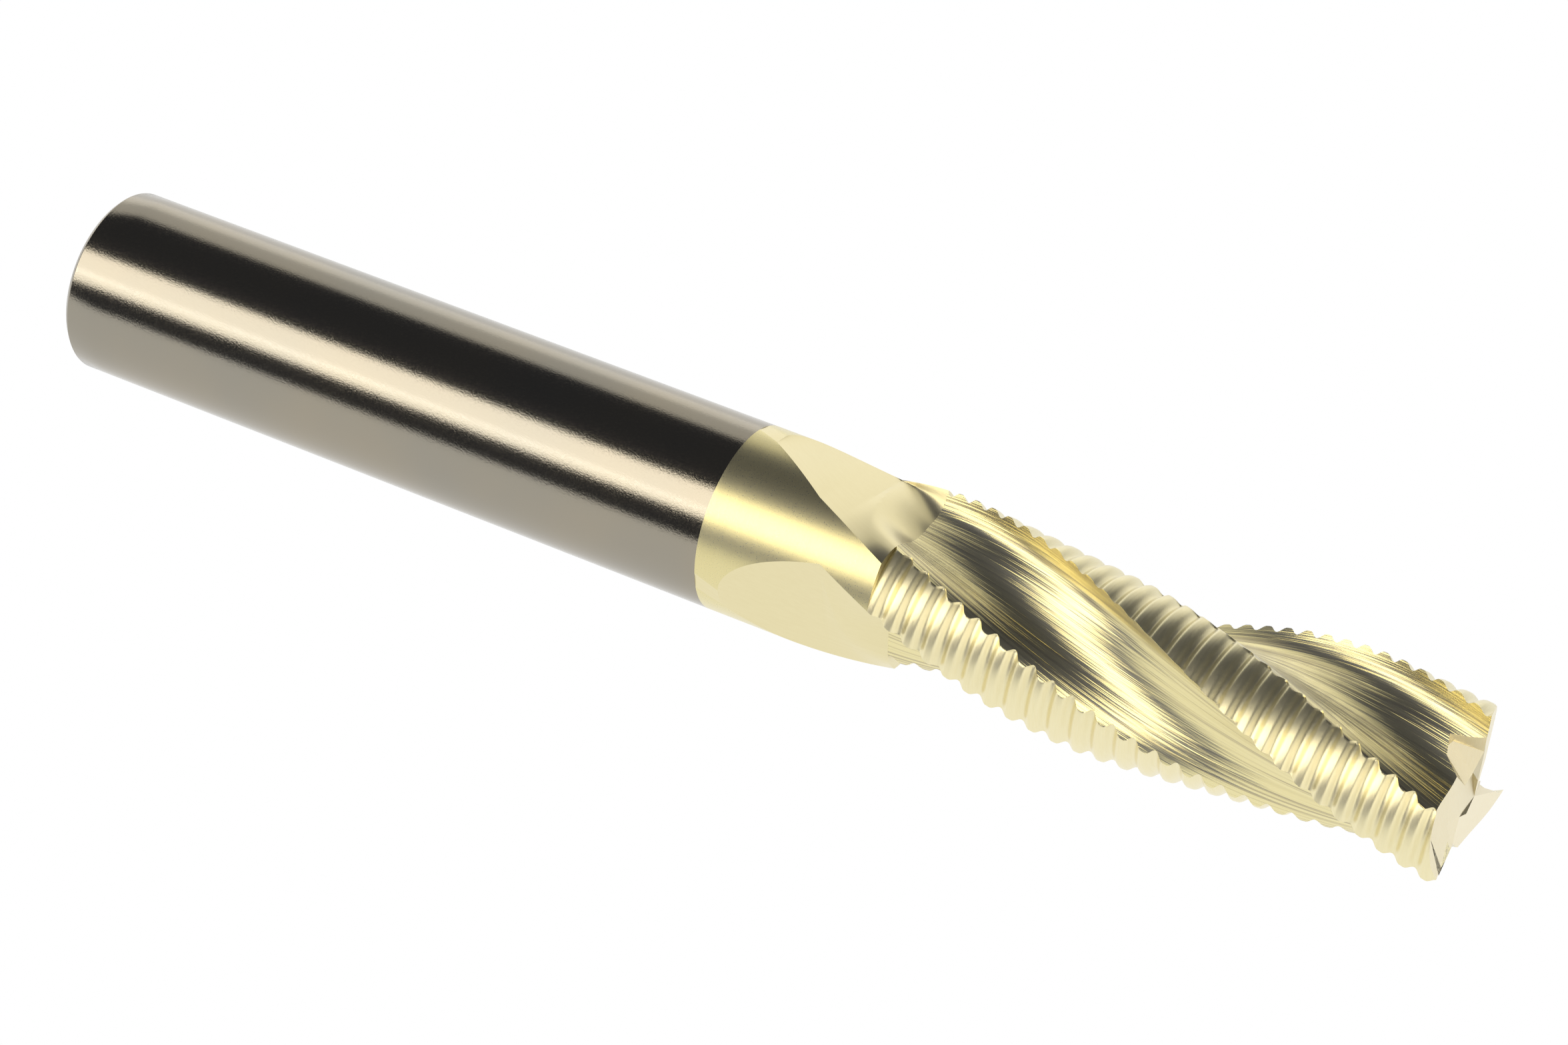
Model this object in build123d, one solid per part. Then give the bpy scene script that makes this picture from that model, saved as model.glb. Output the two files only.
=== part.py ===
"""A three-flute roughing end mill with chip-breaker ribs, lying along X.

The origin is the centre of the shank's back face. +X points at the cutting tip and +Z is up, so the
tool lies on its side. Angles about the axis are measured from +Y towards +Z. Section points are
given as (radius, angle ahead of the tooth's cutting edge).
"""

from build123d import *
import math
import os

# Overall sizes, in millimetres
OVERALL_LENGTH = 101.6
SHANK_DIAMETER = 12.7
CUTTER_DIAMETER = 12.7
SHANK_LENGTH = 50.0  # bare carbide, up to the edge of the coating
SERRATED_LENGTH = 39.2  # ribbed teeth, back from the tip
NECK_LENGTH = 12.4  # the shortest neck that takes the whole run-out
BACK_CHAMFER = 0.4
NECK_CLEARANCE = 0.02  # the coated neck is this much smaller in radius than the head where they meet

# Flutes and teeth, in millimetres and degrees
TOOTH_COUNT = 3
HELIX_ANGLE = 24.8
TIP_EDGE_ANGLE = 203.5  # where the second tooth's edge stands at the tip
CORE_RADIUS = 3.4  # bottom of the flutes
CORE_CUT_IN = 0.15  # how far the flute floors reach into the core
LAND_ANGLE = 43.0  # width of a ribbed land
NECK_LAND_ANGLE = 29.2  # width of a land at the full radius of the neck
HEEL_DROP = 0.95  # how far a land falls from its cutting edge to its heel
RAKE_UNDERCUT = 1.2  # how far the hollow of the rake face leans behind the edge, in degrees
FLOOR_START = 24.0  # the flute floor, in degrees ahead of the edge
FLOOR_END = 48.0

# Points that shape a flute, as shares of its depth, of its floor's start or of its back wall
HOLLOW_DEPTH = 0.3  # the rake face leans furthest behind the edge here
RAKE_FOOT_DEPTH = 0.6
FILLET_DEPTH = 0.84  # the rake face turns into the floor here
FILLET_TURN = 0.45
BACK_WALL_RISE = 0.35
BACK_WALL_TURN = 0.5

# Where the flutes run out into the neck
RUNOUT_LENGTH = 8.0  # shorter, like the gap before it, where the neck is shorter than NECK_LENGTH
RUNOUT_EDGE_GAP = 1.7  # from the edge of the coating to the first trace of a flute
RUNOUT_TIP_ANGLE = 76.5  # middle of the run-out's tip, ahead of the edge
RUNOUT_TIP_SPREAD = 6.0  # half the width of the run-out's tip, in degrees
RAKE_SIDE_SHARE = 0.85  # how far along the run-out its rake side reaches the full flute
RAKE_SIDE_POWER = 0.59
HEEL_SIDE_SHARE = 0.62

# Chip-breaker ribs
RIB_PITCH = 1.44
RIB_GROOVE_RADIUS = 0.5
RIB_DEPTH = 0.38
RIB_STARTS = 2
FIRST_GROOVE = 1.0  # from the start of the ribs to the middle of tooth 1's first groove

# Cutting end
END_RELIEF_ANGLE = 12.0
DISH_ANGLE = 1.5
GASH_CENTRE_GAP = 1.1  # from the axis to the inner end of a gash
GASH_SLOPE = 40.0
GASH_FLOOR_WIDTH = 1.1
GASH_FLOOR_FALL = 0.28
GASH_BACK_SLOPE = 36.0

# Construction allowances
CUT_MARGIN = 1.3  # how far the cutters stand clear of the blank
HEAD_STOCK = 0.01  # the head's blank is this much over the cutting radius, and it is all ground away
STATION_GAP = 4.0  # between the sections of a helical cutter
RUNOUT_STATIONS = (0.0, 0.05, 0.14, 0.28, 0.45, 0.65, 0.85, 1.0)
RUNOUT_LIFT = 0.04  # the first run-out section stands this far off the neck
RUNOUT_FLARE = 12.0  # how far the first run-out section opens outside the neck, in degrees
LIP_ANGLE = 1.0  # how far the flute cutter leans back outside the blank, in degrees
RELIEF_AHEAD = 8.0  # how far the relief cutter runs past the edge and the heel, in degrees
RELIEF_BEHIND = 12.0

shank_radius = SHANK_DIAMETER / 2
cutter_radius = CUTTER_DIAMETER / 2
blank_radius = max(shank_radius, cutter_radius)
outer_radius = blank_radius + CUT_MARGIN
heel_radius = cutter_radius - HEEL_DROP
split_radius = CORE_RADIUS + CORE_CUT_IN
tooth_pitch = 360 / TOOTH_COUNT
heel_angle = tooth_pitch - LAND_ANGLE
rim_angle = tooth_pitch - NECK_LAND_ANGLE
twist_rate = math.degrees(math.tan(math.radians(HELIX_ANGLE)) / cutter_radius)
ribs_start = OVERALL_LENGTH - SERRATED_LENGTH
neck_share = min(1, (ribs_start - SHANK_LENGTH) / NECK_LENGTH)
runout_length = RUNOUT_LENGTH * neck_share
runout_start = SHANK_LENGTH + RUNOUT_EDGE_GAP * neck_share
runout_end = runout_start + runout_length


def edge_angle(tooth, x):
    """Angle of a tooth's cutting edge at a distance x from the back face."""
    return TIP_EDGE_ANGLE + tooth_pitch * (2 - tooth) + twist_rate * (x - OVERALL_LENGTH)


def on_section(radius, angle, x):
    """Point at a radius and an angle about the axis, in the plane at x."""
    turn = math.radians(angle)
    return Vector(x, radius * math.cos(turn), radius * math.sin(turn))


def neck_radius(x):
    """Radius of the neck, which runs straight from the shank to just under the head."""
    share = (x - SHANK_LENGTH) / (ribs_start - SHANK_LENGTH)
    return shank_radius + (cutter_radius - NECK_CLEARANCE - shank_radius) * share


def flute_outline():
    """A flute's outline as (radius, angle ahead of the edge), from the rake face to the heel behind it."""
    depth = cutter_radius - CORE_RADIUS
    wall = heel_radius - CORE_RADIUS
    heel_turn = (rim_angle - heel_angle) / HEEL_DROP
    return [
        (outer_radius, -LIP_ANGLE),
        (cutter_radius, 0.0),
        (cutter_radius - HOLLOW_DEPTH * depth, -RAKE_UNDERCUT),
        (cutter_radius - RAKE_FOOT_DEPTH * depth, RAKE_FOOT_DEPTH * RAKE_UNDERCUT),
        (cutter_radius - FILLET_DEPTH * depth, FILLET_TURN * FLOOR_START),
        (CORE_RADIUS, FLOOR_START),
        (CORE_RADIUS, FLOOR_END),
        (CORE_RADIUS + BACK_WALL_RISE * wall, FLOOR_END + BACK_WALL_TURN * (heel_angle - FLOOR_END)),
        (heel_radius, heel_angle),
        (cutter_radius, rim_angle),
        (outer_radius, rim_angle + heel_turn * CUT_MARGIN),
    ]


def cutter_section(outline, edge, x):
    """Closed face between an outline and an arc outside the blank."""
    points = [on_section(radius, edge + angle, x) for radius, angle in outline]
    middle = edge + (outline[0][1] + outline[-1][1]) / 2
    inner = Edge.make_spline(points)
    outer = Edge.make_three_point_arc(points[-1], on_section(outer_radius, middle, x), points[0])
    return Face(Wire([inner, outer]))


def stations(start, end):
    """Evenly spaced distances from start to end, about STATION_GAP apart."""
    count = max(2, math.ceil((end - start) / STATION_GAP))
    return [start + (end - start) * i / count for i in range(count + 1)]


def runout_outline(share):
    """The flute's outline at a share of the way along its run-out, 0 where it leaves the neck."""
    outline = flute_outline()
    depth = cutter_radius - CORE_RADIUS
    wheel_radius = (runout_length**2 + depth**2) / (2 * depth)
    back = runout_length * (1 - share)
    deep = (math.sqrt(wheel_radius**2 - back**2) - wheel_radius + depth) / depth
    tip_low = RUNOUT_TIP_ANGLE - RUNOUT_TIP_SPREAD
    tip_high = RUNOUT_TIP_ANGLE + RUNOUT_TIP_SPREAD
    rake_side = tip_low * (1 - min(share / RAKE_SIDE_SHARE, 1) ** RAKE_SIDE_POWER)
    heel_side = tip_high + (rim_angle - tip_high) * min(share / HEEL_SIDE_SHARE, 1)
    rim_radius = neck_radius(runout_start + runout_length * share)
    lift = (RUNOUT_LIFT + rim_radius - cutter_radius) * (1 - share)
    flare = RUNOUT_FLARE * (1 - share)
    inner = outline[1:-1]
    moved = [(outer_radius, rake_side + outline[0][1] - flare)]
    for i, (radius, angle) in enumerate(inner):
        even = i / (len(inner) - 1)
        part = (1 - share) * even + share * angle / rim_angle
        sunk = cutter_radius - deep * (cutter_radius - radius) + lift
        moved.append((sunk, rake_side + (heel_side - rake_side) * part))
    moved.append((outer_radius, heel_side + outline[-1][1] - rim_angle + flare))
    return moved


def flute_cutter(tooth):
    """Solids that grind the flute ahead of a tooth: its run-out, then its helical length."""
    runout = []
    for share in RUNOUT_STATIONS:
        x = runout_start + runout_length * share
        runout.append(cutter_section(runout_outline(share), edge_angle(tooth, x), x))
    helical = []
    for x in stations(runout_end, OVERALL_LENGTH + CUT_MARGIN):
        helical.append(cutter_section(flute_outline(), edge_angle(tooth, x), x))
    return [loft(runout), loft(helical)]


def relief_cutter(tooth):
    """Solid that grinds a land down from its cutting edge to its heel."""
    behind = LAND_ANGLE + RELIEF_BEHIND
    fall = HEEL_DROP / LAND_ANGLE
    sections = []
    for x in stations(ribs_start - CUT_MARGIN, OVERALL_LENGTH + CUT_MARGIN):
        outline = [
            (outer_radius, RELIEF_AHEAD),
            (cutter_radius + fall * RELIEF_AHEAD, RELIEF_AHEAD),
            (cutter_radius, 0),
            (cutter_radius - HEEL_DROP / 2, -LAND_ANGLE / 2),
            (heel_radius, -LAND_ANGLE),
            (cutter_radius - fall * behind, -behind),
            (outer_radius, -behind),
        ]
        points = [on_section(radius, edge_angle(tooth, x) + angle, x) for radius, angle in outline]
        middle = on_section(outer_radius, edge_angle(tooth, x) + (RELIEF_AHEAD - behind) / 2, x)
        sides = [
            Edge.make_line(points[0], points[1]),
            Edge.make_spline(points[1:6]),
            Edge.make_line(points[5], points[6]),
            Edge.make_three_point_arc(points[6], middle, points[0]),
        ]
        sections.append(Face(Wire(sides)))
    return loft(sections)


def tooth_frame(tooth):
    """Frame at the tip: X outward along the tooth's end edge, Y ahead of the edge, Z towards the tip."""
    edge = edge_angle(tooth, OVERALL_LENGTH)
    origin = Vector(OVERALL_LENGTH, 0, 0)
    outward = on_section(1, edge, 0)
    return Location(Plane(origin=origin, x_dir=outward, z_dir=Vector(1, 0, 0)))


def end_relief_cutter(tooth):
    """Solid that slopes the end back from a tooth's end edge, over that tooth's share of the turn."""
    reach = 2 * outer_radius
    dish = math.tan(math.radians(DISH_ANGLE))
    slope = math.tan(math.radians(END_RELIEF_ANGLE))
    turn = math.radians(tooth_pitch)
    far = Vector(reach * math.cos(turn), -reach * math.sin(turn), 0)
    fan = Face(Wire.make_polygon([Vector(0, 0, 0), Vector(reach, 0, 0), Vector(reach, -reach, 0), far]))
    block = Solid.extrude(fan.moved(Pos(0, 0, -reach)), Vector(0, 0, 2 * reach))
    along_edge = Vector(1, 0, dish)
    behind_edge = Vector(0, -1, -slope)
    ramp = Plane(origin=Vector(0, 0, -dish * cutter_radius), z_dir=behind_edge.cross(along_edge))
    keep_out = Box(4 * reach, 4 * reach, 4 * reach, align=(Align.CENTER, Align.CENTER, Align.MIN))
    return (Location(ramp) * keep_out & block).moved(tooth_frame(tooth))


def gash_cutter(tooth):
    """Solid that grinds the notch ahead of a tooth's end edge, from the flute almost to the axis."""
    back_rise = math.tan(math.radians(GASH_BACK_SLOPE))
    reach = 2 * blank_radius
    top = reach * back_rise
    profile = [
        Vector(0, 0, 0),
        Vector(0, GASH_FLOOR_WIDTH, -GASH_FLOOR_FALL),
        Vector(0, GASH_FLOOR_WIDTH + reach, top - GASH_FLOOR_FALL),
        Vector(0, 0, top - GASH_FLOOR_FALL),
    ]
    fall = math.tan(math.radians(GASH_SLOPE))
    run = reach + GASH_CENTRE_GAP
    notch = Solid.extrude(Face(Wire.make_polygon(profile)), Vector(run, 0, -run * fall))
    return notch.moved(tooth_frame(tooth) * Pos(GASH_CENTRE_GAP, 0, 0))


def groove(tooth, x):
    """Ring that cuts one chip-breaker groove across a land, following its fall from edge to heel."""
    middle = edge_angle(tooth, x) - LAND_ANGLE / 2
    half = math.radians(LAND_ANGLE / 2)
    shift = HEEL_DROP / (2 * math.sin(half))
    ring_radius = cutter_radius - HEEL_DROP / 2 - RIB_DEPTH + RIB_GROOVE_RADIUS
    tilt = math.degrees(math.atan(RIB_STARTS * RIB_PITCH / (2 * math.pi * ring_radius)))
    outward = on_section(1, middle, 0)
    ahead = on_section(1, middle + 90, 0)
    ring_axis = Vector(1, 0, 0).rotate(Axis((0, 0, 0), outward), -tilt)
    centre = Vector(x, 0, 0) + ahead * shift
    plane = Plane(origin=centre, x_dir=outward, z_dir=ring_axis)
    return Location(plane) * Torus(ring_radius, RIB_GROOVE_RADIUS)


def grooves(tooth):
    """All the chip-breaker grooves of a tooth, set off from the next tooth's by a part of the pitch."""
    stagger = RIB_STARTS * RIB_PITCH * (tooth - 1) / TOOTH_COUNT
    first = ribs_start + (FIRST_GROOVE + stagger) % RIB_PITCH
    count = math.ceil((OVERALL_LENGTH + RIB_GROOVE_RADIUS - first) / RIB_PITCH)
    return [groove(tooth, first + RIB_PITCH * i) for i in range(count)]


def bar(radius, start, end):
    """Round bar along X."""
    return Solid.make_cylinder(radius, end - start, Plane(origin=(start, 0, 0), z_dir=(1, 0, 0)))


def make_shank():
    """Bare ground shank with a small chamfer on its back edge."""
    body = bar(shank_radius, 0, SHANK_LENGTH)
    back_edge = body.edges().filter_by(GeomType.CIRCLE).sort_by(Axis.X)[0]
    return body.chamfer(BACK_CHAMFER, None, [back_edge])


def make_neck(cutters):
    """Coated neck, with the flutes running out into it."""
    base = Plane(origin=(SHANK_LENGTH, 0, 0), z_dir=(1, 0, 0))
    end_radius = neck_radius(ribs_start)
    if end_radius == shank_radius:
        return bar(shank_radius, SHANK_LENGTH, ribs_start) - cutters
    return Solid.make_cone(shank_radius, end_radius, ribs_start - SHANK_LENGTH, base) - cutters


def make_head(cutters):
    """Fluted and relieved cutting length with its end ground, before it is split into core and teeth."""
    head = bar(cutter_radius + HEAD_STOCK, ribs_start, OVERALL_LENGTH) - cutters
    for tooth in range(1, TOOTH_COUNT + 1):
        head = head - relief_cutter(tooth)
        head = head - end_relief_cutter(tooth)
        head = head - gash_cutter(tooth)
    return head


def tooth_of(solid, x):
    """Number of the tooth whose land a solid belongs to, from where its section at x lies."""
    centre = solid.center()
    angle = math.degrees(math.atan2(centre.Z, centre.Y))
    gaps = {}
    for tooth in range(1, TOOTH_COUNT + 1):
        land = edge_angle(tooth, x) - LAND_ANGLE / 2
        gaps[tooth] = abs((angle - land + 180) % 360 - 180)
    return min(gaps, key=gaps.get)


def make_parts():
    """Every node of the tool by name."""
    cutters = []
    for tooth in range(1, TOOTH_COUNT + 1):
        cutters.extend(flute_cutter(tooth))
    head = make_head(cutters)
    core_bar = bar(split_radius, ribs_start - CUT_MARGIN, OVERALL_LENGTH + CUT_MARGIN)
    parts = {
        "shank": make_shank(),
        "coated_neck": make_neck(cutters),
        "flute_core": head & core_bar,
    }
    for land in (head - core_bar).solids():
        tooth = tooth_of(land, (ribs_start + OVERALL_LENGTH) / 2)
        parts[f"tooth_{tooth}"] = land - grooves(tooth)
    return parts


os.makedirs("parts", exist_ok=True)
for name, part in make_parts().items():
    export_step(part, f"parts/{name}.step")
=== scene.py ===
"""Looks of a coated three-flute roughing end mill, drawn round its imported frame.

The tool lies on its side along +X, cutting end forward. Shapes are worked out in millimetres and
degrees, with angles about the axis measured from +Y towards +Z, and turned into metres when a mesh
is made. The bare carbide shank, the coated neck, the fluted core and the three ribbed teeth are each
one piece, as in the frame.
"""

import logging
import math
from dataclasses import dataclass
from enum import Enum

import bpy
import numpy as np
from mathutils import Matrix, Vector


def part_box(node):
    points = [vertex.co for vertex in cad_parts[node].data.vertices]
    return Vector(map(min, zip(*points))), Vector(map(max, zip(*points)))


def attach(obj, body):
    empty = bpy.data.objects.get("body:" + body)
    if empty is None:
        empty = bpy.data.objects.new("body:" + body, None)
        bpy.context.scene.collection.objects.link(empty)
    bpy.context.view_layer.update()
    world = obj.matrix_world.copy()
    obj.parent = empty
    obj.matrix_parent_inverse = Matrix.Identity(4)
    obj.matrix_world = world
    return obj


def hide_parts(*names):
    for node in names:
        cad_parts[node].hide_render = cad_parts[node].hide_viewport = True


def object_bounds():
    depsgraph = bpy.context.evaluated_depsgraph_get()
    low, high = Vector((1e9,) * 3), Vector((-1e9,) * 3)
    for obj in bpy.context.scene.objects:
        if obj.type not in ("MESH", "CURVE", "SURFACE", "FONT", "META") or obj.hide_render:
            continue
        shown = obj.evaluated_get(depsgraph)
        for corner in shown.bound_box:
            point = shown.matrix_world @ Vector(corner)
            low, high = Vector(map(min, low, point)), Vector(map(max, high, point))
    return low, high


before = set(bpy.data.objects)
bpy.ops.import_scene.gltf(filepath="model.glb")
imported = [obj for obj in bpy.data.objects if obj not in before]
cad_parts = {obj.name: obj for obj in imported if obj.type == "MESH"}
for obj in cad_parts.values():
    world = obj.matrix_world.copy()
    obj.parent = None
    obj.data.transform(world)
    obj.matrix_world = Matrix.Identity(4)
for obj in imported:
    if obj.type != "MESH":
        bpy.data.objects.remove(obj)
cad_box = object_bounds()

LOG = logging.getLogger("end_mill")
MM = 0.001
BODY = "root"


def linear(colour: str) -> tuple[float, float, float, float]:
    """Turns an sRGB hex colour into the linear values that shaders take.

    Args:
        colour: six hex digits with a leading hash.

    Returns:
        Linear red, green and blue, and an alpha of 1.
    """
    values = []
    for start in (1, 3, 5):
        share = int(colour[start : start + 2], 16) / 255
        if share <= 0.04045:
            values.append(share / 12.92)
        else:
            values.append(((share + 0.055) / 1.055) ** 2.4)
    return (*values, 1.0)


def node(
    tree: bpy.types.NodeTree,
    kind: str,
    values: dict | None = None,
    links: dict | None = None,
    **settings: object,
) -> bpy.types.Node:
    """Adds one node to a tree.

    Args:
        tree: the tree that the node goes into.
        kind: the node's type, without the leading "ShaderNode".
        values: constants by input name or number.
        links: output sockets by input name or number.
        **settings: the node's own properties.

    Returns:
        The new node.
    """
    made = tree.nodes.new("ShaderNode" + kind)
    for name, value in settings.items():
        setattr(made, name, value)
    for name, value in (values or {}).items():
        made.inputs[name].default_value = value
    for name, socket in (links or {}).items():
        tree.links.new(socket, made.inputs[name])
    return made


def spline_through(points: np.ndarray, count: int) -> np.ndarray:
    """Samples the natural cubic spline through some points.

    Args:
        points: an (n, 2) array of points.
        count: how many samples to take, evenly along the chord length.

    Returns:
        A (count, 2) array of points on the spline.
    """
    steps = np.linalg.norm(np.diff(points, axis=0), axis=1)
    knots = np.concatenate([[0.0], np.cumsum(steps)])
    size = len(points)
    system = np.eye(size)
    right = np.zeros((size, 2))
    for i in range(1, size - 1):
        system[i, i - 1] = steps[i - 1]
        system[i, i] = 2 * (steps[i - 1] + steps[i])
        system[i, i + 1] = steps[i]
        after = (points[i + 1] - points[i]) / steps[i]
        before = (points[i] - points[i - 1]) / steps[i - 1]
        right[i] = 6 * (after - before)
    bend = np.linalg.solve(system, right)
    where = np.linspace(0, knots[-1], count)
    span = np.clip(np.searchsorted(knots, where, side="right") - 1, 0, size - 2)
    width = steps[span][:, None]
    ahead = (where - knots[span])[:, None]
    behind = width - ahead
    curve = bend[span] * behind**3 / (6 * width) + bend[span + 1] * ahead**3 / (6 * width)
    curve += (points[span] / width - bend[span] * width / 6) * behind
    curve += (points[span + 1] / width - bend[span + 1] * width / 6) * ahead
    return curve


@dataclass(frozen=True)
class Ribs:
    """Rounded chip-breaker ribs that run across a land as a two-start thread, in millimetres."""

    start: float
    pitch: float = 1.44
    starts: int = 2
    depth: float = 0.38
    groove_half_width: float = 0.6
    first_groove: float = 1.0

    def depth_at(self, x: np.ndarray, angle: np.ndarray, tooth: int, form: "CutterForm") -> np.ndarray:
        """How deep the grooves are at places on a land.

        Args:
            x: distances from the back face.
            angle: angles ahead of the tooth's edge, which are negative on its land.
            tooth: the tooth's number.
            form: the cutter's section.

        Returns:
            Depths in millimetres.
        """
        lead = self.starts * self.pitch
        stagger = lead * (tooth - 1) / form.teeth
        first = self.start + (self.first_groove + stagger) % self.pitch
        along = x + lead / 360 * (angle + form.land / 2) - first
        off = np.abs((along / self.pitch + 0.5) % 1 - 0.5) * self.pitch
        share = np.clip(off / self.groove_half_width, 0, 1)
        return self.depth * (0.5 + 0.5 * np.cos(math.pi * share))


@dataclass(frozen=True)
class CutterForm:
    """Section, twist and run-out of the flutes, in millimetres and degrees.

    Angles in a section are measured ahead of a tooth's cutting edge, and a flute lies ahead of its tooth.
    """

    tip: float
    ribs_start: float
    coating_edge: float
    radius: float
    teeth: int = 3
    helix: float = 24.8
    tip_edge: float = 203.5
    core_radius: float = 3.4
    seam_radius: float = 3.55
    land: float = 43.0
    neck_land: float = 29.2
    heel_drop: float = 0.95
    undercut: float = 1.2
    floor_start: float = 24.0
    floor_end: float = 48.0
    runout_gap: float = 1.7
    runout_length: float = 8.0
    runout_middle: float = 76.5
    runout_spread: float = 6.0
    rake_side_share: float = 0.85
    rake_side_power: float = 0.59
    heel_side_share: float = 0.62
    lip: float = 1.0  # how far the outline leans back outside the blank
    over: float = 1.3  # how far the outline runs outside the blank
    hollow_depth: float = 0.3  # shares of the depth, the floor's start or the back wall
    rake_foot_depth: float = 0.6
    fillet_depth: float = 0.84
    fillet_turn: float = 0.45
    back_wall_rise: float = 0.35

    @property
    def pitch(self) -> float:
        """Angle from one tooth to the next.

        Returns:
            Degrees.
        """
        return 360 / self.teeth

    @property
    def twist(self) -> float:
        """Degrees that the section turns in a millimetre.

        Returns:
            Degrees in a millimetre.
        """
        return math.degrees(math.tan(math.radians(self.helix)) / self.radius)

    @property
    def heel_radius(self) -> float:
        """Radius at the heel of a ribbed land.

        Returns:
            Millimetres.
        """
        return self.radius - self.heel_drop

    @property
    def heel_angle(self) -> float:
        """Angle from an edge to the heel of the tooth ahead.

        Returns:
            Degrees.
        """
        return self.pitch - self.land

    @property
    def rim_angle(self) -> float:
        """Angle from an edge to where the flute meets the neck's full radius.

        Returns:
            Degrees.
        """
        return self.pitch - self.neck_land

    def edge_angle(self, tooth: int, x: float) -> float:
        """Angle of a tooth's cutting edge about the axis at a distance x from the back face.

        Args:
            tooth: the tooth's number.
            x: distance from the back face.

        Returns:
            Degrees about the axis.
        """
        return self.tip_edge + self.pitch * (2 - tooth) + self.twist * (x - self.tip)

    def flute(self, count: int = 721) -> tuple[np.ndarray, np.ndarray]:
        """A flute's outline from the cutting edge over rake face, floor and back wall to the rim.

        Args:
            count: how many points to give.

        Returns:
            Radii and angles ahead of the edge.
        """
        depth = self.radius - self.core_radius
        wall = self.heel_radius - self.core_radius
        turn = (self.rim_angle - self.heel_angle) / self.heel_drop
        over = self.over
        foot = self.rake_foot_depth
        corners = [
            (self.radius + over, -self.lip),
            (self.radius, 0.0),
            (self.radius - self.hollow_depth * depth, -self.undercut),
            (self.radius - foot * depth, foot * self.undercut),
            (self.radius - self.fillet_depth * depth, self.fillet_turn * self.floor_start),
            (self.core_radius, self.floor_start),
            (self.core_radius, self.floor_end),
            (self.core_radius + self.back_wall_rise * wall, (self.floor_end + self.heel_angle) / 2),
            (self.heel_radius, self.heel_angle),
            (self.radius, self.rim_angle),
            (self.radius + over, self.rim_angle + turn * over),
        ]
        polar = np.array(corners)
        turned = np.radians(polar[:, 1])
        flat = np.stack([polar[:, 0] * np.cos(turned), polar[:, 0] * np.sin(turned)], axis=1)
        curve = spline_through(flat, 4 * count)
        radius = np.hypot(curve[:, 0], curve[:, 1])
        angle = np.degrees(np.arctan2(curve[:, 1], curve[:, 0]))
        middle = np.abs(angle - (self.floor_start + self.floor_end) / 2).argmin()
        first = np.where(radius[:middle] > self.radius)[0][-1]
        last = middle + np.where(radius[middle:] > self.radius)[0][0]
        where = np.linspace(first, last, count)
        steps = np.arange(len(radius))
        return np.interp(where, steps, radius), np.interp(where, steps, angle)


class FluteCurve:
    """A flute's outline that can be read between any two radii."""

    def __init__(self, form: CutterForm) -> None:
        """Samples the outline once.

        Args:
            form: the cutter's section.
        """
        self.form = form
        self.radius, self.angle = form.flute()
        self.low = int(self.radius.argmin())

    def rake_place(self, radius: np.ndarray | float) -> np.ndarray:
        """Where on the rake side the outline has a radius.

        Args:
            radius: radii to look for.

        Returns:
            Places along the outline's points.
        """
        side = slice(self.low, None, -1)
        return np.interp(radius, self.radius[side], np.arange(len(self.radius))[side])

    def wall_place(self, radius: np.ndarray | float) -> np.ndarray:
        """Where on the back wall the outline has a radius.

        Args:
            radius: radii to look for.

        Returns:
            Places along the outline's points.
        """
        side = slice(self.low, None)
        return np.interp(radius, self.radius[side], np.arange(len(self.radius))[side])

    def between(
        self, start: np.ndarray, end: np.ndarray, shares: np.ndarray
    ) -> tuple[np.ndarray, np.ndarray]:
        """Points of the outline between two places.

        Args:
            start: first place at each station.
            end: last place at each station.
            shares: shares of the way from start to end.

        Returns:
            Radii and angles, one row for each station.
        """
        place = start[:, None] + (end - start)[:, None] * shares[None, :]
        steps = np.arange(len(self.radius))
        return np.interp(place, steps, self.radius), np.interp(place, steps, self.angle)


class Skin(Enum):
    """The ground surfaces of the tool, each with its own lay."""

    SHANK = "shank"
    NECK = "neck"
    FLUTE = "flute"
    RUNOUT = "runout"
    LAND = "land"
    END = "end"


@dataclass(frozen=True)
class Loft:
    """A closed tube of rings with flat ends, in metres once it is made."""

    name: str
    rings: np.ndarray  # stations, points round, xyz in millimetres
    skins: list[int]  # material slot of each strip between two points

    def mesh(self) -> bpy.types.Mesh:
        """Builds the mesh.

        Returns:
            A closed mesh, with its sides smooth and its ends flat.
        """
        stations, around = self.rings.shape[:2]
        points = (self.rings.reshape(-1, 3) * MM).tolist()
        faces = []
        slots = []
        for i in range(stations - 1):
            for j in range(around):
                k = (j + 1) % around
                here, there = i * around, (i + 1) * around
                faces.append((here + j, there + j, there + k, here + k))
                slots.append(self.skins[j])
        faces.append(tuple(range(around)))
        faces.append(tuple((stations - 1) * around + j for j in reversed(range(around))))
        slots.extend([self.skins[0]] * 2)
        mesh = bpy.data.meshes.new(self.name)
        mesh.from_pydata(points, [], faces)
        mesh.polygons.foreach_set("material_index", slots)
        mesh.validate()
        return mesh


def rings_from(x: np.ndarray, radius: np.ndarray, angle: np.ndarray) -> np.ndarray:
    """Puts polar sections in space.

    Args:
        x: distance of each station from the back face.
        radius: radii, one row for each station.
        angle: angles about the axis in degrees, one row for each station.

    Returns:
        Points as an array of stations, points and xyz.
    """
    turned = np.radians(angle)
    across = np.stack([radius * np.cos(turned), radius * np.sin(turned)], axis=2)
    along = np.broadcast_to(x[:, None, None], (*radius.shape, 1))
    return np.concatenate([along, across], axis=2)


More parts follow.
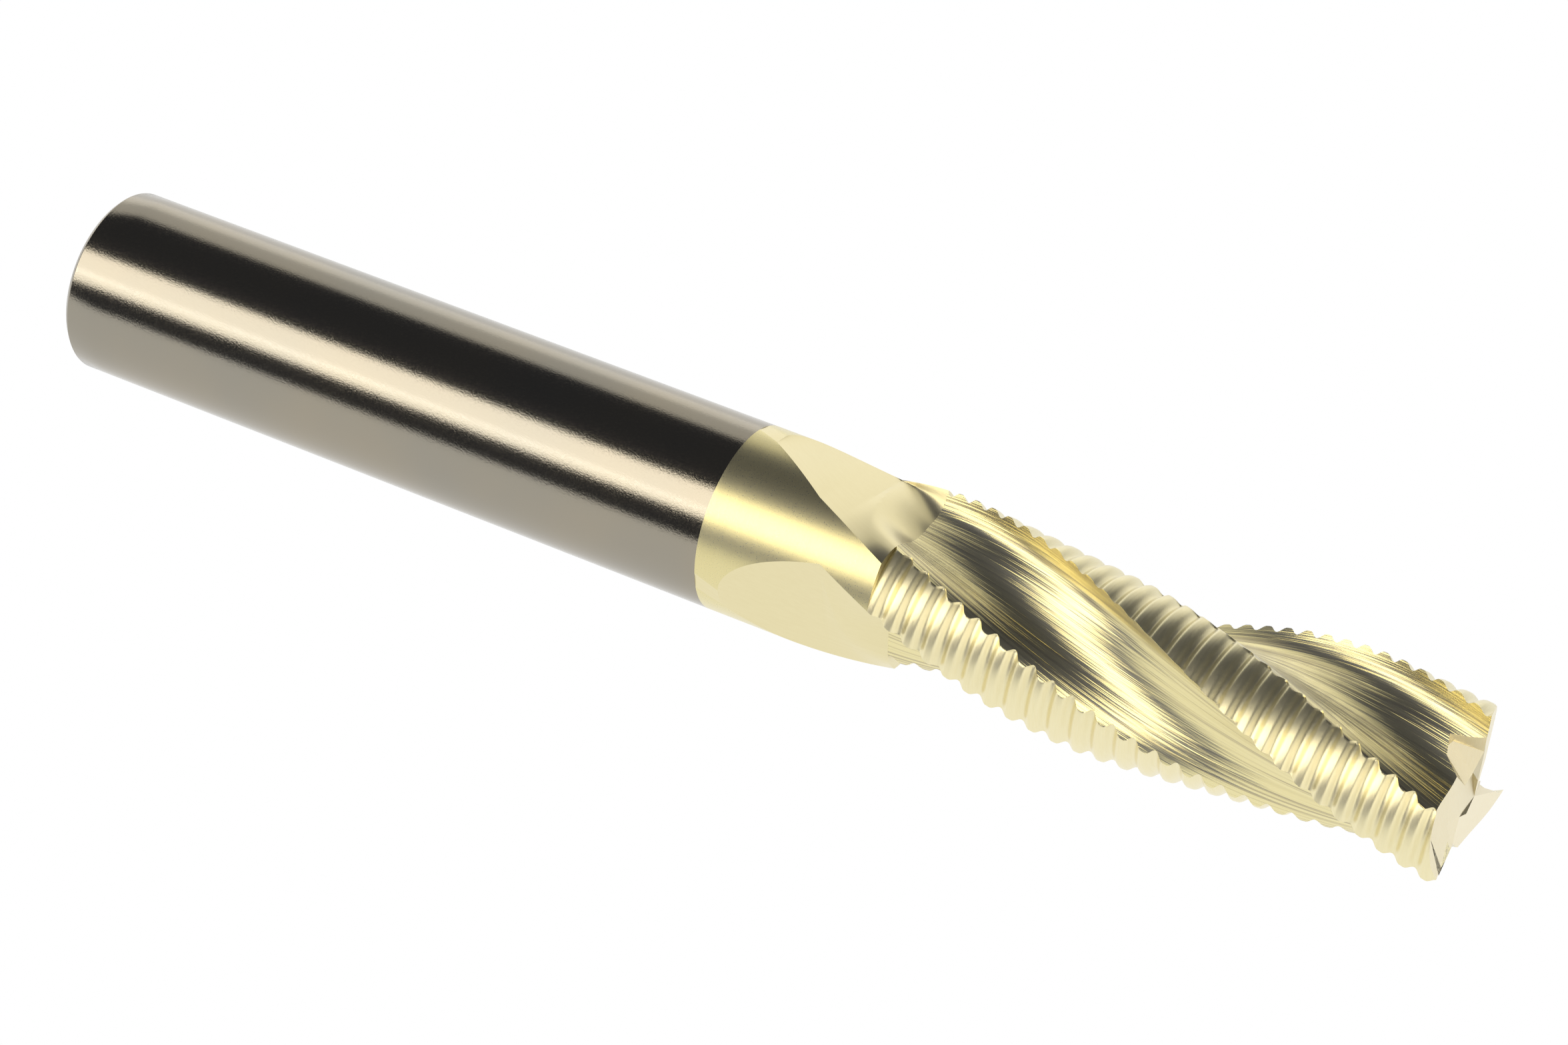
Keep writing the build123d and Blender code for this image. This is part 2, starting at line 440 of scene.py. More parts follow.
def solid_from(
    name: str, points: list, faces: list, material: bpy.types.Material | None = None
) -> bpy.types.Object:
    """Makes an object of a few flat faces, in millimetres.

    Args:
        name: the object's name.
        points: corners.
        faces: corner numbers of each face.
        material: what the faces are made of.

    Returns:
        The object, linked to the scene.
    """
    mesh = bpy.data.meshes.new(name)
    mesh.from_pydata([tuple(value * MM for value in point) for point in points], [], faces)
    if material:
        mesh.materials.append(material)
    made = bpy.data.objects.new(name, mesh)
    bpy.context.scene.collection.objects.link(made)
    return made


def prism(name: str, bottom: list, top: list, material: bpy.types.Material) -> bpy.types.Object:
    """Makes a closed prism between two polygons of as many corners.

    Args:
        name: the object's name.
        bottom: corners, seen anticlockwise from the top.
        top: corners above them.
        material: what its faces leave on what they cut.

    Returns:
        The prism.
    """
    size = len(bottom)
    faces = [tuple(reversed(range(size))), tuple(range(size, 2 * size))]
    for i in range(size):
        k = (i + 1) % size
        faces.append((i, k, k + size, i + size))
    return solid_from(name, [*bottom, *top], faces, material)


@dataclass(frozen=True)
class EndGrind:
    """Cuts that shape the cutting end: a sloped relief and a gash for each tooth."""

    form: CutterForm
    material: bpy.types.Material
    relief: float = 12.0
    dish: float = 1.5
    gash_gap: float = 1.1
    gash_slope: float = 40.0
    gash_floor: float = 1.1
    gash_fall: float = 0.28
    gash_back: float = 36.0
    overlap: float = 0.02  # how far a relief runs past its edge, so that neighbouring cuts overlap

    def place(self, tooth: int) -> Matrix:
        """Frame at the tip: X outward along the end edge, Y ahead of it and Z towards the tip, in metres.

        Args:
            tooth: the tooth's number.

        Returns:
            The frame as a matrix.
        """
        turned = math.radians(self.form.edge_angle(tooth, self.form.tip))
        outward = Vector((0, math.cos(turned), math.sin(turned)))
        forward = Vector((1, 0, 0))
        ahead = forward.cross(outward)
        matrix = Matrix((outward, ahead, forward)).transposed().to_4x4()
        matrix.translation = (self.form.tip * MM, 0, 0)
        return matrix

    def relief_cut(self, tooth: int) -> bpy.types.Object:
        """Wedge above the sloped end face behind a tooth's end edge.

        Args:
            tooth: the tooth's number.

        Returns:
            The wedge.
        """
        reach = 3 * self.form.radius
        turn = math.radians(self.form.pitch)
        corners = [
            (-self.overlap / math.tan(turn), self.overlap),
            (reach * math.cos(turn), -reach * math.sin(turn)),
            (reach, -reach),
            (reach, self.overlap),
        ]
        dish = math.tan(math.radians(self.dish))
        slope = math.tan(math.radians(self.relief))
        drop = dish * self.form.radius
        bottom = [(x, y, -drop + x * dish + y * slope) for x, y in corners]
        top = [(x, y, reach) for x, y in corners]
        made = prism(f"relief_cut_{tooth}", bottom, top, self.material)
        made.matrix_world = self.place(tooth)
        return made

    def gash_cut(self, tooth: int) -> bpy.types.Object:
        """Notch ahead of a tooth's end edge, from near the axis down into its flute.

        Args:
            tooth: the tooth's number.

        Returns:
            The notch.
        """
        rise = math.tan(math.radians(self.gash_back))
        fall = math.tan(math.radians(self.gash_slope))
        reach = 2 * self.form.radius
        floor = -self.gash_fall
        profile = [
            (0.0, 0.0),
            (self.gash_floor, floor),
            (self.gash_floor + reach, floor + reach * rise),
            (0.0, floor + reach * rise),
        ]
        far = self.gash_gap + 2 * reach
        near = [(self.gash_gap, y, z) for y, z in profile]
        away = [(far, y, z - (far - self.gash_gap) * fall) for y, z in profile]
        made = prism(f"gash_cut_{tooth}", near, away, self.material)
        made.matrix_world = self.place(tooth)
        return made

    def cuts(self) -> list[bpy.types.Object]:
        """All the cuts, each with its faces turned outwards.

        Returns:
            A relief and a gash for each tooth.
        """
        made = []
        for tooth in range(1, self.form.teeth + 1):
            made.append(self.relief_cut(tooth))
            made.append(self.gash_cut(tooth))
        bpy.context.view_layer.update()
        return made

    def apply(self, piece: bpy.types.Object, cuts: list[bpy.types.Object]) -> None:
        """Takes the cuts out of a piece.

        Args:
            piece: the piece that is ground.
            cuts: the solids that the wheel takes away.
        """
        for cut in cuts:
            grind = piece.modifiers.new(cut.name, "BOOLEAN")
            grind.operation = "DIFFERENCE"
            grind.solver = "MANIFOLD"
            grind.material_mode = "TRANSFER"
            grind.object = cut
        view = bpy.context.evaluated_depsgraph_get()
        ground = bpy.data.meshes.new_from_object(piece.evaluated_get(view))
        piece.modifiers.clear()
        old = piece.data
        piece.data = ground
        bpy.data.meshes.remove(old)
        ground.name = piece.name


@dataclass(frozen=True)
class GroundCarbide:
    """Bare cemented carbide, centreless ground and lapped: a dark bronze-grey mirror with fine specks."""

    name: str = "ground_carbide"
    warm: str = "#a69c88"
    cool: str = "#96938a"
    roughness: float = 0.11
    speck_mm: float = 0.12
    line_mm: float = 0.06  # centreless grinding lines, drawn coarser than the real grit

    def build(self) -> bpy.types.Material:
        """Builds the material.

        Returns:
            A metal whose grinding lines run round the shank.
        """
        material = bpy.data.materials.new(self.name)
        material.use_nodes = True
        tree = material.node_tree
        tree.nodes.clear()
        place = node(tree, "TexCoord").outputs["Object"]
        cloud = node(tree, "TexNoise", {"Scale": 90.0, "Detail": 3.0}, {"Vector": place})
        tint = node(
            tree,
            "Mix",
            {6: linear(self.warm), 7: linear(self.cool)},
            {"Factor": cloud.outputs["Fac"]},
            data_type="RGBA",
        )
        specks = node(
            tree,
            "TexNoise",
            {"Scale": 1 / (self.speck_mm * MM), "Detail": 2.0, "Roughness": 0.7},
            {"Vector": place},
        )
        rings = node(tree, "Mapping", {"Scale": (1.0, 0.02, 0.02)}, {"Vector": place})
        lines = node(
            tree,
            "TexNoise",
            {"Scale": 1 / (self.line_mm * MM), "Detail": 2.0},
            {"Vector": rings.outputs["Vector"]},
        )
        rough = node(
            tree,
            "MapRange",
            {"From Min": 0.35, "From Max": 0.75, "To Min": self.roughness, "To Max": self.roughness + 0.10},
            {"Value": specks.outputs["Fac"]},
        )
        relief = node(
            tree,
            "Bump",
            {"Strength": 0.035, "Distance": 0.00004},
            {"Height": lines.outputs["Fac"]},
        )
        grain = node(
            tree,
            "Bump",
            {"Strength": 0.22, "Distance": 0.00003},
            {"Height": specks.outputs["Fac"], "Normal": relief.outputs["Normal"]},
        )
        shader = node(
            tree,
            "BsdfPrincipled",
            {"Metallic": 1.0},
            {
                "Base Color": tint.outputs[2],
                "Roughness": rough.outputs["Result"],
                "Normal": grain.outputs["Normal"],
            },
        )
        node(tree, "OutputMaterial", links={"Surface": shader.outputs["BSDF"]})
        return material


@dataclass(frozen=True)
class NitrideCoating:
    """Pale gold nitride film laid on ground carbide by vapour.

    The film follows the wheel marks under it. Each surface was ground another way, so its lay, its
    roughness and the strength of its marks differ.
    """

    skin: Skin
    twist: float  # degrees in a millimetre
    roughness: float
    marks: float  # strength of the wheel marks
    mark_mm: float
    stretch: tuple[float, float, float]
    body: str = "#dfd289"
    deep: str = "#d8c878"
    # streak and dark paint a darker olive tint along some wheel marks: painted reflection standing in for dark
    # streaks mirrored in the flutes.
    streak: float = 0.0  # how strongly the tint varies between wheel marks
    dark: str = "#8a7a4a"
    grain_mm: float = 0.09
    grain: float = 0.2

    def build(self) -> bpy.types.Material:
        """Builds the material.

        Returns:
            A metal with wheel marks along its own lay and a fine droplet grain.
        """
        material = bpy.data.materials.new(f"coated_{self.skin.value}")
        material.use_nodes = True
        tree = material.node_tree
        tree.nodes.clear()
        place = node(tree, "TexCoord").outputs["Object"]
        if self.skin in (Skin.FLUTE, Skin.RUNOUT):
            along = node(tree, "SeparateXYZ", links={"Vector": place}).outputs["X"]
            turn = node(tree, "Math", {1: -math.radians(self.twist) / MM}, {0: along}, operation="MULTIPLY")
            straight = node(
                tree,
                "VectorRotate",
                links={"Vector": place, "Angle": turn.outputs["Value"]},
                rotation_type="X_AXIS",
            )
            place_lay = straight.outputs["Vector"]
        else:
            place_lay = place
        lay = node(tree, "Mapping", {"Scale": self.stretch}, {"Vector": place_lay})
        marks = node(
            tree,
            "TexNoise",
            {"Scale": 1 / (self.mark_mm * MM), "Detail": 3.0, "Roughness": 0.6},
            {"Vector": lay.outputs["Vector"]},
        )
        grain = node(
            tree,
            "TexNoise",
            {"Scale": 1 / (self.grain_mm * MM), "Detail": 2.0, "Roughness": 0.65},
            {"Vector": place},
        )
        plain = node(
            tree,
            "Mix",
            {6: linear(self.body), 7: linear(self.deep)},
            {"Factor": marks.outputs["Fac"]},
            data_type="RGBA",
        )
        # Painted reflection: a mask of the wheel marks along which the tint is darkened towards the dark
        # olive.
        streak_shade = node(
            tree,
            "MapRange",
            {"From Min": 0.5, "From Max": 0.62, "To Min": 0.0, "To Max": self.streak},
            {"Value": marks.outputs["Fac"]},
        )
        tint = node(
            tree,
            "Mix",
            {7: linear(self.dark)},
            {"Factor": streak_shade.outputs["Result"], 6: plain.outputs[2]},
            data_type="RGBA",
        )
        rough = node(
            tree,
            "MapRange",
            {
                "From Min": 0.3,
                "From Max": 0.7,
                "To Min": self.roughness * (1 - self.grain),
                "To Max": self.roughness * (1 + self.grain),
            },
            {"Value": grain.outputs["Fac"]},
        )
        wheel = node(
            tree,
            "Bump",
            {"Strength": self.marks, "Distance": 0.00005},
            {"Height": marks.outputs["Fac"]},
        )
        drops = node(
            tree,
            "Bump",
            {"Strength": self.grain, "Distance": 0.00003},
            {"Height": grain.outputs["Fac"], "Normal": wheel.outputs["Normal"]},
        )
        shader = node(
            tree,
            "BsdfPrincipled",
            {"Metallic": 1.0, "Coat Weight": 1.0, "Coat Roughness": 0.45, "Coat IOR": 2.5},
            {
                "Base Color": tint.outputs[2],
                "Roughness": rough.outputs["Result"],
                "Normal": drops.outputs["Normal"],
            },
        )
        node(tree, "OutputMaterial", links={"Surface": shader.outputs["BSDF"]})
        return material


@dataclass
class Finishes:
    """The tool's finishes by surface."""

    twist: float

    def __post_init__(self) -> None:
        """Builds each finish once."""
        self.by_skin = {
            # Bare shank: centreless ground, a dark mirror with crisp bands and a faint grain.
            Skin.SHANK: GroundCarbide().build(),
            # Coated neck: cylindrical grinding leaves marks round it, which blur one broad highlight.
            Skin.NECK: self.coated(Skin.NECK, 0.31, 0.05, 0.05, (1.0, 0.03, 0.03), grain=0.14),
            # Coated flute: the wheel's long marks along the helix break reflections into streaks. The marks
            # are real, but the dark tint along some of them is painted reflection that stands in for the
            # flute's dark streaks.
            Skin.FLUTE: self.coated(
                Skin.FLUTE, 0.17, 1.0, 0.2, (0.006, 1.0, 1.0),
                grain=0.05, streak=0.75, body="#eadf9f", deep="#dccb78",
            ),
            # Coated run-out: left by the wheel as it lifts, a smooth facet that reads as one tone.
            Skin.RUNOUT: self.coated(
                Skin.RUNOUT, 0.30, 0.02, 0.2, (0.02, 1.0, 1.0), grain=0.01, body="#e4d79c", deep="#ddce8e"
            ),
            # Coated land: form ground with marks round it, so that each rib has a soft bright crest. Its paler
            # tint is painted light: the same film, painted brighter so that the ribs read bright.
            Skin.LAND: self.coated(
                Skin.LAND, 0.36, 0.08, 0.06, (1.0, 0.05, 0.05), grain=0.12, body="#f0e6b4", deep="#e6d899"
            ),
            # Coated end: face ground and nearly matt. Its much paler tint is painted light, the same film
            # painted brighter so that it stays pale from every side.
            Skin.END: self.coated(
                Skin.END, 0.5, 0.06, 0.08, (1.0, 1.0, 0.05), grain=0.10, body="#f8eecb", deep="#f0e2b0"
            ),
        }

    def coated(
        self, skin: Skin, roughness: float, marks: float, mark_mm: float, stretch: tuple, **tone: float | str
    ) -> bpy.types.Material:
        """One coated finish.

        Args:
            skin: the surface.
            roughness: how widely it scatters what it mirrors.
            marks: strength of the wheel marks.
            mark_mm: width of a wheel mark.
            stretch: how the marks are drawn out along each axis.
            **tone: grain, streaks and tints.

        Returns:
            The material.
        """
        return NitrideCoating(skin, self.twist, roughness, marks, mark_mm, stretch, **tone).build()

    def dress(self, mesh: bpy.types.Mesh, skins: list[Skin]) -> None:
        """Gives a mesh its material slots in order.

        Args:
            mesh: the mesh.
            skins: the surface of each slot.
        """
        for skin in skins:
            mesh.materials.append(self.by_skin[skin])


def add_piece(mesh: bpy.types.Mesh, name: str) -> bpy.types.Object:
    """Links a mesh to the scene as a piece of the tool.

    Args:
        mesh: the piece's mesh.
        name: the piece's name.

    Returns:
        The piece.
    """
    piece = bpy.data.objects.new(name, mesh)
    bpy.context.scene.collection.objects.link(piece)
    return piece


def finish_piece(piece: bpy.types.Object, cad_node: str, sharp: float = 32.0) -> None:
    """Smooths a piece, puts it on its body and lets it stand for its CAD node.

    Args:
        piece: the piece.
        cad_node: the CAD node that it stands for.
        sharp: edges that turn by more than this many degrees stay sharp.
    """
    mesh = piece.data
    mesh.polygons.foreach_set("use_smooth", [True] * len(mesh.polygons))
    mesh.set_sharp_from_angle(angle=math.radians(sharp))
    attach(piece, BODY)
    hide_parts(cad_node)
    LOG.info("%s: %d faces, for %s", piece.name, len(mesh.polygons), cad_node)


@dataclass
class Shank:
    """Bare shank: a ground cylinder with a small chamfer on its back edge, in millimetres."""

    length: float
    radius: float
    chamfer: float = 0.4
    edge_round: float = 0.06
    around: int = 256

    def profile(self) -> list[tuple[float, float]]:
        """Distance and radius of each ring, from the back face to the edge of the coating.

        Returns:
            Pairs of distance and radius.
        """
        soft = self.edge_round
        low = self.radius - self.chamfer
        lines = [0.12, 0.3, 0.55, 0.8, 0.97]
        rings = [(0.0, low * share) for share in lines]
        rings += [(0.0, low - soft), (soft * 0.3, low + soft * 0.1), (soft, low + soft)]
        rings += [(self.chamfer - soft, self.radius - soft), (self.chamfer, self.radius - soft * 0.3)]
        rings += [(self.chamfer + soft, self.radius)]
        steps = 24
        for i in range(1, steps + 1):
            rings.append((self.chamfer + soft + (self.length - self.chamfer - soft) * i / steps, self.radius))
        return rings

    def build(self, finishes: Finishes) -> bpy.types.Object:
        """Builds and dresses the shank.

        Args:
            finishes: the tool's finishes.

        Returns:
            The piece.
        """
        rings = np.array(self.profile())
        angle = np.linspace(0, 360, self.around, endpoint=False)
        radius = np.repeat(rings[:, 1:], self.around, axis=1)
        points = rings_from(rings[:, 0], radius, np.broadcast_to(angle, radius.shape))
        mesh = Loft("bare_shank", points, [0] * self.around).mesh()
        finishes.dress(mesh, [Skin.SHANK])
        piece = add_piece(mesh, "bare_shank")
        finish_piece(piece, "shank")
        return piece


@dataclass
class Neck:
    """Coated neck, with the three flutes running out into it."""

    form: CutterForm
    curve: FluteCurve
    clearance: float = 0.02
    turn_in: float = 4.5  # the flat facet turns into the flute over this length at its rake side
    heel_lag: float = 2.5  # and over this much less at its heel side
    flute_points: int = 64
    land_points: int = 40
    runout_stations: int = 90

    def stations(self) -> np.ndarray:
        """Distances of the rings, closest together where a run-out begins.

        Returns:
            Distances in order.
        """
        form = self.form
        start = form.coating_edge + form.runout_gap
        end = start + form.runout_length
        plain = np.linspace(form.coating_edge, start, 5)[:-1]
        runout = start + form.runout_length * np.linspace(0, 1, self.runout_stations) ** 2
        full = np.linspace(end, form.ribs_start, 24)[1:]
        return np.concatenate([plain, runout, full])

    def section(self, x: float) -> tuple[np.ndarray, np.ndarray]:
        """Radii and angles ahead of an edge over one flute and the land ahead of it.

        Args:
            x: distance from the back face.

        Returns:
            Radii and angles.
        """
        form = self.form
        start = form.coating_edge + form.runout_gap
        share = min(max((x - start) / form.runout_length, 0.0), 1.0)
        low = form.runout_middle - form.runout_spread
        high = form.runout_middle + form.runout_spread
        rake_side = low * (1 - min(share / form.rake_side_share, 1) ** form.rake_side_power)
        heel_side = high + (form.rim_angle - high) * min(share / form.heel_side_share, 1)
        shares = np.linspace(0, 1, self.flute_points)
        last = np.array([len(self.curve.radius) - 1.0])
        radius, angle = self.curve.between(np.zeros(1), last, shares)
        full = form.radius - self.clearance * (x - form.coating_edge) / (form.ribs_start - form.coating_edge)
        part = (1 - share) * shares + share * angle[0] / form.rim_angle
        turned = rake_side + (heel_side - rake_side) * part
        half = math.radians(heel_side - rake_side) / 2
        off_middle = np.radians(turned - (heel_side + rake_side) / 2)
        facet = full * math.cos(half) / np.cos(off_middle)
        sweep = self.turn_in - self.heel_lag * shares
        formed = np.clip((x - form.ribs_start + sweep) / sweep, 0, 1)
        hollow = full - (form.radius - radius[0])
        sunk = np.minimum(full, (1 - formed) * facet + formed * hollow)
        land = np.linspace(heel_side, rake_side + form.pitch, self.land_points + 2)[1:-1]
        return np.concatenate([sunk, np.full(self.land_points, full)]), np.concatenate([turned, land])

    def build(self, finishes: Finishes) -> bpy.types.Object:
        """Builds and dresses the neck.

        Args:
            finishes: the tool's finishes.

        Returns:
            The piece.
        """
        form = self.form
        x = self.stations()
        radii, angles = [], []
        for place in x:
            radius, angle = self.section(place)
            edge = form.edge_angle(2, place)
            radii.append(np.tile(radius, form.teeth))
            angles.append(np.concatenate([edge + form.pitch * i + angle for i in range(form.teeth)]))
        points = rings_from(x, np.array(radii), np.array(angles))
        skins = ([1] * (self.flute_points - 1) + [0] * (self.land_points + 1)) * form.teeth
        mesh = Loft("coated_neck_skin", points, skins).mesh()
        finishes.dress(mesh, [Skin.NECK, Skin.RUNOUT])
        piece = add_piece(mesh, "coated_neck_skin")
        finish_piece(piece, "coated_neck", sharp=14.0)
        return piece


@dataclass
class Head:
    """Fluted core and ribbed teeth, which are ground together at the cutting end."""

    form: CutterForm
    curve: FluteCurve
    ribs: Ribs
    station_mm: float = 0.09
    rake_points: int = 30
    floor_points: int = 34
    wall_points: int = 26
    land_points: int = 36
    arc_points: int = 5
    overrun: float = 0.3
    seam_step: float = 0.1  # share of a step to the point that keeps the shading crisp at the seam

    def stations(self) -> np.ndarray:
        """Evenly spaced distances from the ribs' start to just past the tip.

        Returns:
            Distances in order.
        """
        end = self.form.tip + self.overrun
        count = round((end - self.form.ribs_start) / self.station_mm)
        return np.linspace(self.form.ribs_start, end, count)

    def near_seam(self, count: int, at_start: bool) -> np.ndarray:
        """Shares of the way along a curve, with two points close together at the seam's end.

        Args:
            count: how many even shares.
            at_start: whether the seam is at the start.

        Returns:
            The shares.
        """
        shares = np.linspace(0, 1, count)
        close = self.seam_step / count
        return np.insert(shares, 1, close) if at_start else np.insert(shares, -1, 1 - close)

    def tooth_rings(self, tooth: int, x: np.ndarray) -> tuple[np.ndarray, list[int]]:
        """Rings of a tooth: up its rake face, back over its land, down the back wall and round the core.

        Args:
            tooth: the tooth's number.
            x: distances of the rings.

        Returns:
            The rings, and the material slot of each strip: 0 for a flute and 1 for the land.
        """
        form, curve = self.form, self.curve
        edge = form.edge_angle(tooth, x)
        seam = np.full(len(x), form.seam_radius)
        top = form.radius - self.ribs.depth_at(x, np.zeros(len(x)), tooth, form)
        heel = form.heel_radius - self.ribs.depth_at(x, np.full(len(x), -form.land), tooth, form)
        up, down = self.near_seam(self.rake_points, True), self.near_seam(self.wall_points, False)
        rake = curve.between(curve.rake_place(seam), curve.rake_place(top), up)
        wall = curve.between(curve.wall_place(heel), curve.wall_place(seam), down)
        wall_angle = wall[1] - form.pitch
        start, end = rake[1][:, -1:], wall_angle[:, :1]
        shares = np.linspace(0, 1, self.land_points + 2)[1:-1]
        land_angle = start + (end - start) * shares[None, :]
        fall = form.radius + form.heel_drop * land_angle / form.land
        land = fall - self.ribs.depth_at(x[:, None], land_angle, tooth, form)
        start, end = wall_angle[:, -1:], rake[1][:, :1]
        shares = np.linspace(0, 1, self.arc_points + 2)[1:-1]
        arc_angle = start + (end - start) * shares[None, :]
        arc = np.full(arc_angle.shape, form.seam_radius)
        radius = np.concatenate([rake[0], land, wall[0], arc], axis=1)
        angle = np.concatenate([rake[1], land_angle, wall_angle, arc_angle], axis=1)
        sides = [0] * (rake[0].shape[1] - 1) + [1] * (self.land_points + 1)
        sides += [0] * (wall[0].shape[1] - 1 + self.arc_points + 1)
        return rings_from(x, radius, angle + edge[:, None])[:, ::-1], sides[-2::-1] + sides[-1:]

    def core_rings(self, x: np.ndarray) -> np.ndarray:
        """Rings of the core: the flute floors, and arcs where the teeth stand.

        Args:
            x: distances of the rings.

        Returns:
            The rings.
        """
        form, curve = self.form, self.curve
        start = curve.rake_place(np.full(1, form.seam_radius))
        end = curve.wall_place(np.full(1, form.seam_radius))
        shares = np.insert(self.near_seam(self.floor_points, True), -1, 1 - self.seam_step / self.floor_points)
        radius, angle = curve.between(start, end, shares)
        gap = np.linspace(angle[0, -1], angle[0, 0] + form.pitch, self.arc_points + 2)[1:-1]
        one_radius = np.concatenate([radius[0], np.full(len(gap), form.seam_radius)])
        one_angle = np.concatenate([angle[0], gap])
        ring_radius = np.tile(one_radius, form.teeth)
        ring_angle = np.concatenate([one_angle + form.pitch * i for i in range(form.teeth)])
        edge = form.edge_angle(2, x)
        angles = ring_angle[None, :] + edge[:, None]
        return rings_from(x, np.broadcast_to(ring_radius, angles.shape), angles)

    def build(self, finishes: Finishes) -> list[bpy.types.Object]:
        """Builds, grinds and dresses the core and the teeth.

        Args:
            finishes: the tool's finishes.

        Returns:
            The pieces.
        """
        grind = EndGrind(self.form, finishes.by_skin[Skin.END])
        cuts = grind.cuts()
        x = self.stations()
        rings = self.core_rings(x)
        made = {"flute_core": Loft("coated_core", rings, [0] * rings.shape[1]).mesh()}
        for tooth in range(1, self.form.teeth + 1):
            rings, skins = self.tooth_rings(tooth, x)
            made[f"tooth_{tooth}"] = Loft(f"ribbed_tooth_{tooth}", rings, skins).mesh()
        pieces = []
        for cad_node, mesh in made.items():
            finishes.dress(mesh, [Skin.FLUTE, Skin.LAND, Skin.END])
            piece = add_piece(mesh, mesh.name)
            grind.apply(piece, cuts)
            finish_piece(piece, cad_node)
            pieces.append(piece)
        for cut in cuts:
            bpy.data.objects.remove(cut)
        return pieces


@dataclass
class SoftLight:
    """A soft area light that the camera doesn't see, placed by what the tool's side mirrors.

    Elevation turns from the horizon on the camera's side, over the top, to the horizon behind the
    tool. Sizes are in metres.
    """

    name: str
    elevation: float
    spread: float  # degrees that it covers across the tool
    length: float
    radiance: float
    colour: str = "#ffffff"
    distance: float = 0.7
    along: float = -0.379  # share of the way towards the shank's end

    def build(self, centre: Vector) -> bpy.types.Object:
        """Adds the light.

        Args:
            centre: the point that it faces.

        Returns:
            The light.
        """
        turned = math.radians(self.elevation)
        across = math.sqrt(1 - self.along**2)
        way = Vector((self.along, -across * math.cos(turned), across * math.sin(turned)))
        light = bpy.data.lights.new(self.name, "AREA")
        light.shape = "RECTANGLE"
        light.size = self.length
        light.size_y = 2 * self.distance * math.tan(math.radians(self.spread / 2))
        light.energy = self.radiance * math.pi * light.size * light.size_y
        light.color = linear(self.colour)[:3]
        made = bpy.data.objects.new(self.name, light)
        bpy.context.scene.collection.objects.link(made)
        back = way.normalized()
        side = (Vector((1, 0, 0)) - back * back.x).normalized()
        up = back.cross(side)
        turn = Matrix((side, up, back)).transposed().to_4x4()
        turn.translation = centre + way * self.distance
        made.matrix_world = turn
        made.visible_camera = False
        return made


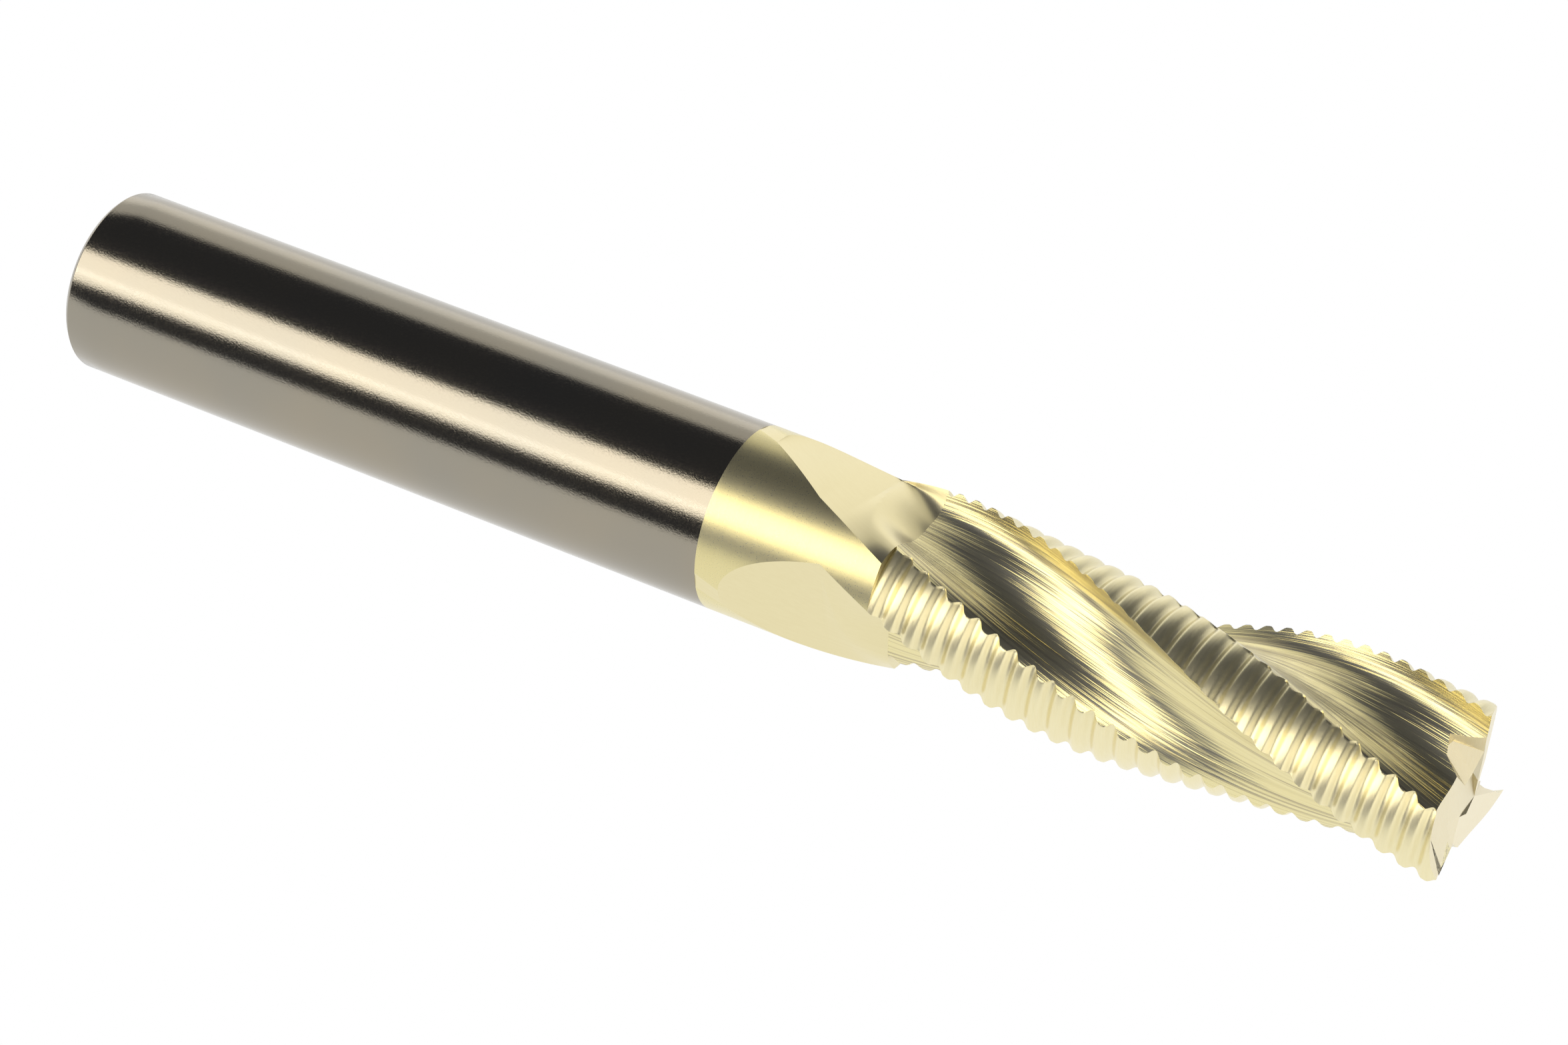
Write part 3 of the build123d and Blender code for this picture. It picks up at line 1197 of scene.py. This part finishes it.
@dataclass
class Studio:
    """Pale floor, soft lights and camera."""

    low: Vector
    high: Vector
    azimuth: float = 29.829
    elevation: float = 41.575
    distance: float = 0.3014
    lens: float = 106.56
    aim_forward: float = 0.00168
    aim_across: float = 0.00088
    floor_half: float = 3.0

    @property
    def centre(self) -> Vector:
        """Middle of the tool.

        Returns:
            The point in metres.
        """
        return (self.low + self.high) / 2

    def camera(self) -> None:
        """Adds the camera, looking down along the tool from its cutting end."""
        azimuth, elevation = math.radians(self.azimuth), math.radians(self.elevation)
        level = math.cos(elevation)
        forward = Vector((-math.sin(azimuth) * level, math.cos(azimuth) * level, -math.sin(elevation)))
        aim = self.centre + Vector((self.aim_forward, self.aim_across, 0))
        data = bpy.data.cameras.new("studio_camera")
        data.lens = self.lens
        data.clip_start = 0.01
        camera = bpy.data.objects.new("studio_camera", data)
        bpy.context.scene.collection.objects.link(camera)
        camera.location = aim - forward * self.distance
        camera.rotation_euler = forward.to_track_quat("-Z", "Y").to_euler()
        bpy.context.scene.camera = camera

    def floor(self) -> None:
        """Adds a matt white floor that shows no shadow."""
        material = bpy.data.materials.new("white_sweep")
        material.use_nodes = True
        tree = material.node_tree
        tree.nodes.clear()
        glow = node(tree, "Emission", {"Color": (1.0, 1.0, 1.0, 1.0), "Strength": 1.0})
        node(tree, "OutputMaterial", links={"Surface": glow.outputs["Emission"]})
        half = self.floor_half / MM
        height = self.low.z / MM
        corners = [(-half, -half), (half, -half), (half, half), (-half, half)]
        floor = [(*corner, height) for corner in corners]
        solid_from("pale_floor", floor, [(0, 1, 2, 3)], material)

    def surroundings(self) -> None:
        """Dark cool room for reflections, with a white backdrop for the camera."""
        world = bpy.data.worlds.new("studio")
        bpy.context.scene.world = world
        world.use_nodes = True
        tree = world.node_tree
        tree.nodes.clear()
        path = node(tree, "LightPath")
        room = node(tree, "Background", {"Color": (0.045, 0.047, 0.055, 1.0), "Strength": 1.0})
        paper = node(tree, "Background", {"Color": (1.0, 1.0, 1.0, 1.0), "Strength": 1.0})
        both = node(
            tree,
            "MixShader",
            links={0: path.outputs["Is Camera Ray"], 1: room.outputs[0], 2: paper.outputs[0]},
        )
        node(tree, "OutputWorld", links={"Surface": both.outputs[0]})

    def lights(self) -> None:
        """Adds the soft lights."""
        for light in (
            SoftLight("key_softbox", 46.0, 34.0, 2.0, 2.6, "#fffaf0"),
            SoftLight("key_strip", 37.8, 1.2, 2.0, 3.0),
            SoftLight("back_softbox", 160.0, 40.0, 2.0, 0.75, "#fffdf8"),
            SoftLight("back_strip", 172.0, 16.0, 2.0, 0.5, "#fffdf8"),
            SoftLight("tip_fill", 20.0, 30.0, 0.5, 1.6, "#fffaf0", along=0.9),
        ):
            light.build(self.centre)

    def build(self) -> None:
        """Sets up the whole studio."""
        scene = bpy.context.scene
        scene.view_settings.view_transform = "Standard"
        scene.view_settings.look = "None"
        self.camera()
        self.floor()
        self.surroundings()
        self.lights()


def main() -> None:
    """Builds the tool and the studio round it."""
    logging.basicConfig(level=logging.INFO, format="%(name)s %(message)s")
    shank_low, shank_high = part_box("shank")
    neck_low, neck_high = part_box("coated_neck")
    tip = max(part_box(f"tooth_{number}")[1].x for number in (1, 2, 3))
    radius = (shank_high.z - shank_low.z) / 2 / MM
    form = CutterForm(
        tip=round(tip / MM, 3),
        ribs_start=round(neck_high.x / MM, 3),
        coating_edge=round(neck_low.x / MM, 3),
        radius=round(radius, 3),
    )
    curve = FluteCurve(form)
    finishes = Finishes(form.twist)
    studio = Studio(*cad_box)
    studio.build()
    Shank(length=form.coating_edge, radius=form.radius).build(finishes)
    Neck(form, curve).build(finishes)
    Head(form, curve, Ribs(form.ribs_start)).build(finishes)


if __name__ == "__main__":
    main()
